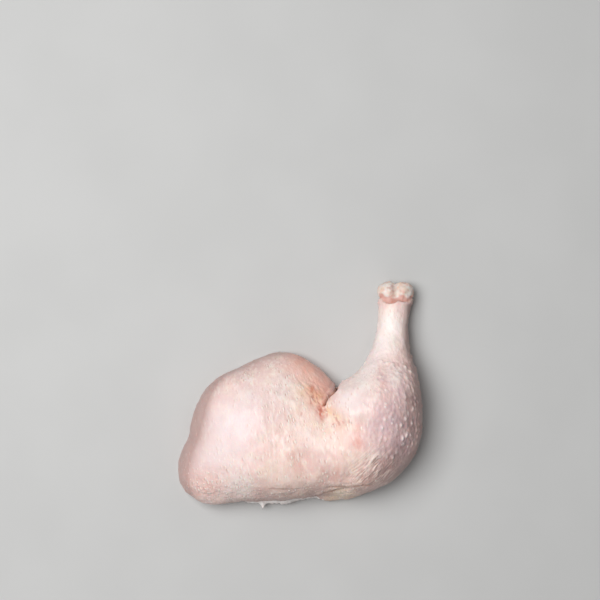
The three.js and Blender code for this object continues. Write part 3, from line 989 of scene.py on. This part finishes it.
def skin_colour(shader, mask, marks, strands):
    """Pale skin, tinted by what lies under it, then by its folds and painted shade, then by its fine marks
    and their painted highlights.
    """
    times, ramp, blotches = shader.times, shader.ramp, shader.blotches
    # Painted highlights fade to a quarter where the painted shade is full.
    faint = ramp(mask.shade, 0, 0.7, 1, 0.25)
    return shader.coat(shader.blotched("skin", "rosy skin"), [
        (blotches("cream"), "cream"),
        (blotches("blush"), "blush"),
        # Ridge crests and troughs: partly the skin's own pale streaks, partly painted light and shade on the
        # ridges.
        (ramp(mask.ridges, 0.52, 0.9, 0, 0.55), "ridge crest"),
        (ramp(mask.ridges, 0.48, 0.12, 0, 0.6), "ridge trough"),
        # Paler skin, partly painted light.
        (times(mask.pale, 0.8), "pale"),
        # Cool whitish skin, partly the painted broad highlight.
        (times(mask.cool, 0.7), "cool"),
        # Lavender tint, partly painted shade on the drumstick's lower right.
        (times(mask.lavender, blotches("lavender")), "lavender"),
        # Painted shade in patches.
        (times(mask.dusk, blotches("dusk")), "dusk"),
        (times(mask.fat, blotches("fat")), "fat"),
        (times(mask.flap, blotches("flap")), "flap"),
        (times(mask.flush, blotches("flush")), "flush"),
        (times(mask.gold, ramp(mask.crests, 0.3, 0.8, 0.35, 0.9)), "gold"),
        # Painted light on the crumples' crests and painted shade in their troughs.
        (ramp(mask.crests, 0.55, 1, 0, 0.5), "lit crumple crest"),
        (ramp(mask.crests, 0.4, 0, 0, 0.5), "shaded crumple trough"),
        # Painted shade on the flanks that turn down or aside.
        (times(mask.shade, 0.85), "shade"),
        # A fold's own orange-brown, and painted shadow deep in it.
        (ramp(mask.fold, 0.1, 0.6, 0, 0.65), "fold"),
        (ramp(mask.fold, 0.4, 0.75, 0, 0.95), "deep fold shadow"),
        (times(mask.granular, 0.3), "granular"),
        # Painted shade between the gathered strands and painted light on their crests.
        (times(mask.gathered, ramp(strands, 0.5, 0.36, 0, 0.6)), "gather trough"),
        (times(mask.gathered, ramp(strands, 0.5, 0.66, 0, 0.6)), "gather crest"),
        (times(mask.roll, blotches("roll")), "roll"),
        (times(mask.lobe, 0.25), "lobe"),
        (times(marks.nick, 0.6), "nick"),
        # Painted highlight on each nick's lip.
        (times(marks.lip, times(faint, 0.65)), "lit nick lip"),
        # Painted shade in the troughs between the goose bumps.
        (ramp(mask.troughs, 0.05, 0.7, 0, 0.4), "bump trough shade"),
        # Painted highlights on the bump tips and small goose bumps, faded in the painted shade.
        (times(shader.math("MAXIMUM", mask.tips, marks.pimple), times(faint, 0.75)), "bump"),
        # Painted glints on the grit.
        (times(marks.glinting_grit, 0.85), "glinting_grit"),
    ])


def meat_colour(shader, mask):
    """Fibrous meat with marbling, pale seams, fat along its rim, and the bone's head in its red socket."""
    times, ramp = shader.times, shader.ramp
    film = shader.blotches("film")
    meat = shader.coat(shader.blotched("meat", "light meat"), [
        (shader.blotches("marbled meat"), "marbled meat"),
        (times(mask.seam, ramp(film, 0, 1, 0.3, 0.8)), "seam"),
        (times(mask.fat_rim, ramp(film, 0, 1, 0.25, 0.95)), "fat rim"),
        (times(mask.socket, 0.8), "socket"),
    ])
    return shader.mix(mask.bone, meat, shader.blotched("bone", "rosy bone"))


def gristle_colour(shader, mask):
    """Mottled cartilage, and reddish sinew next to the skin."""
    return shader.coat(shader.blotched("gristle", "warm gristle"), [
        (shader.blotches("rosy gristle"), "rosy gristle"),
        (shader.times(mask.sinew, 0.75), "sinew"),
    ])


def raw_skin(mask_names):
    """Moist skin with fat showing through, raw meat and cartilage."""
    shader = Shader("raw_skin")
    mask = shader.masks(mask_names)
    marks = fine_marks(shader, mask)
    strands = shader.strands(GATHER_SIZE, GATHER_ANGLE)
    colour = shader.mix(mask.meat, skin_colour(shader, mask, marks, strands), meat_colour(shader, mask))
    relief = shader.total([
        (shader.noise(**PORES), 1),
        (marks.pimple, 1),
        (marks.lip, 1),
        (marks.glinting_grit, 1.6),
        (marks.nick, -0.5),
        (shader.times(mask.gathered, strands), GATHER_RELIEF),
    ])
    return shader.surface(
        Base_Color=shader.mix(mask.hock, colour, gristle_colour(shader, mask)),
        Normal=shader.bump(relief, 0.7),
        Roughness=shader.blotches("roughness"),
        Subsurface_Weight=0.2,
        Subsurface_Radius=(1.0, 0.4, 0.26),
        Subsurface_Scale=2 * MM,
        Specular_IOR_Level=0.4,
        Coat_Weight=0.2,
        Coat_Roughness=0.22,
    )


def wet_membrane():
    """Thin white membrane with small ripples."""
    shader = Shader("wet_membrane")
    colour = shader.blotched("membrane", "bright membrane")
    ripples = shader.bump(shader.noise(**RIPPLES), 0.5)
    return shader.surface(Base_Color=colour, Normal=ripples, Roughness=0.35)


def pale_floor():
    """Matt and almost even."""
    shader = Shader("pale_floor")
    return shader.surface(Base_Color=shader.blotched("floor", "light floor"), Roughness=0.9)


def add_piece(name, mesh, material):
    mesh.materials.clear()
    mesh.materials.append(material)
    mesh.shade_smooth()
    piece = bpy.data.objects.new(name, mesh)
    bpy.context.scene.collection.objects.link(piece)
    return piece


def add_camera():
    data = bpy.data.cameras.new("camera")
    data.lens = CAMERA_LENS
    data.sensor_width = CAMERA_SENSOR
    data.clip_start = CAMERA_NEAR * MM
    camera = bpy.data.objects.new("camera", data)
    camera.location = [v * MM for v in CAMERA_PLACE]
    bpy.context.scene.collection.objects.link(camera)
    bpy.context.scene.camera = camera


def add_light(name, place, size, power):
    """A square soft light, aimed at the middle of the leg."""
    data = bpy.data.lights.new(name, "AREA")
    data.size = size
    data.energy = power
    light = bpy.data.objects.new(name, data)
    light.location = place
    light.rotation_euler = (-Vector(place)).to_track_quat("-Z", "Y").to_euler()
    bpy.context.scene.collection.objects.link(light)


def add_floor():
    bm = bmesh.new()
    bmesh.ops.create_grid(bm, x_segments=1, y_segments=1, size=FLOOR_REACH)
    bmesh.ops.translate(bm, verts=bm.verts, vec=(0, 0, -FLOOR_GAP * MM))
    mesh = bpy.data.meshes.new("floor")
    bm.to_mesh(mesh)
    bm.free()
    return add_piece("floor", mesh, pale_floor())


def add_studio():
    """A plain pale floor under soft lights, with little other light."""
    add_floor()
    for name, light in LIGHTS.items():
        add_light(name, **light)
    world = bpy.data.worlds.new("room")
    world.use_nodes = True
    background = world.node_tree.nodes["Background"]
    background.inputs["Color"].default_value = (1, 1, 1, 1)
    background.inputs["Strength"].default_value = ROOM_LIGHT
    bpy.context.scene.world = world
    bpy.context.scene.view_settings.view_transform = "Standard"


add_camera()
add_studio()

leg_mesh, leg_points, mask_names = sculpt_leg()
leg = add_piece("leg_skin", leg_mesh, raw_skin(mask_names))
membrane = add_piece("loose_membrane", membrane_strip(leg_points), wet_membrane())
for piece in (leg, membrane):
    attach(piece, "root")
    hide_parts("leg_quarter")
